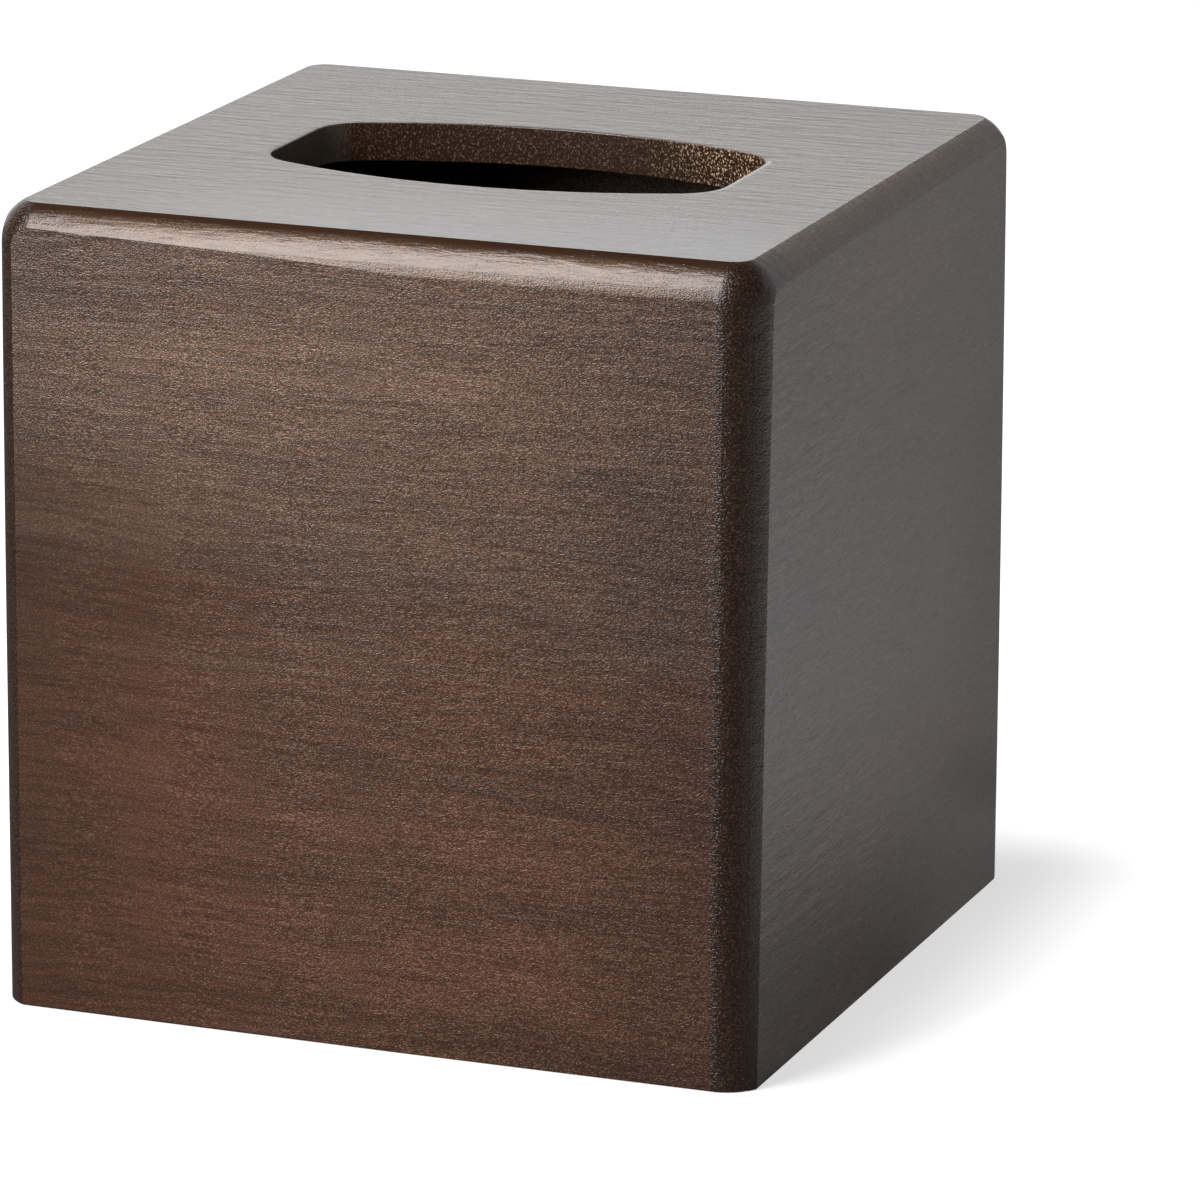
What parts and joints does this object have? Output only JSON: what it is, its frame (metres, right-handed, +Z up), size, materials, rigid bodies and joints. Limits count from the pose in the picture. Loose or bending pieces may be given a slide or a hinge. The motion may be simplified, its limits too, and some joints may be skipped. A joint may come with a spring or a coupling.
{
  "type": "tissue box cover",
  "caption": "Square wooden drop-over cover for a cube tissue box: mitred side boards, rounded edges and a top board with a bowed slot.",
  "frame": {"origin": "middle of the footprint, on the surface that the cover stands on", "axes": "+Z up; +X to the right, along the slot; the front board faces -Y"},
  "size_m": [0.1396, 0.1396, 0.1422],
  "materials": {
    "stained_wood_top": "dark walnut stain under satin lacquer, grain along X, end grain on the left and right edges and on the slot's ends",
    "stained_wood_sides": "dark walnut stain under satin lacquer, grain level along each board"
  },
  "bodies": {
    "root": {"top_board": "stained_wood_top", "front_board": "stained_wood_sides", "back_board": "stained_wood_sides", "left_board": "stained_wood_sides", "right_board": "stained_wood_sides"}
  },
  "joints": []
}
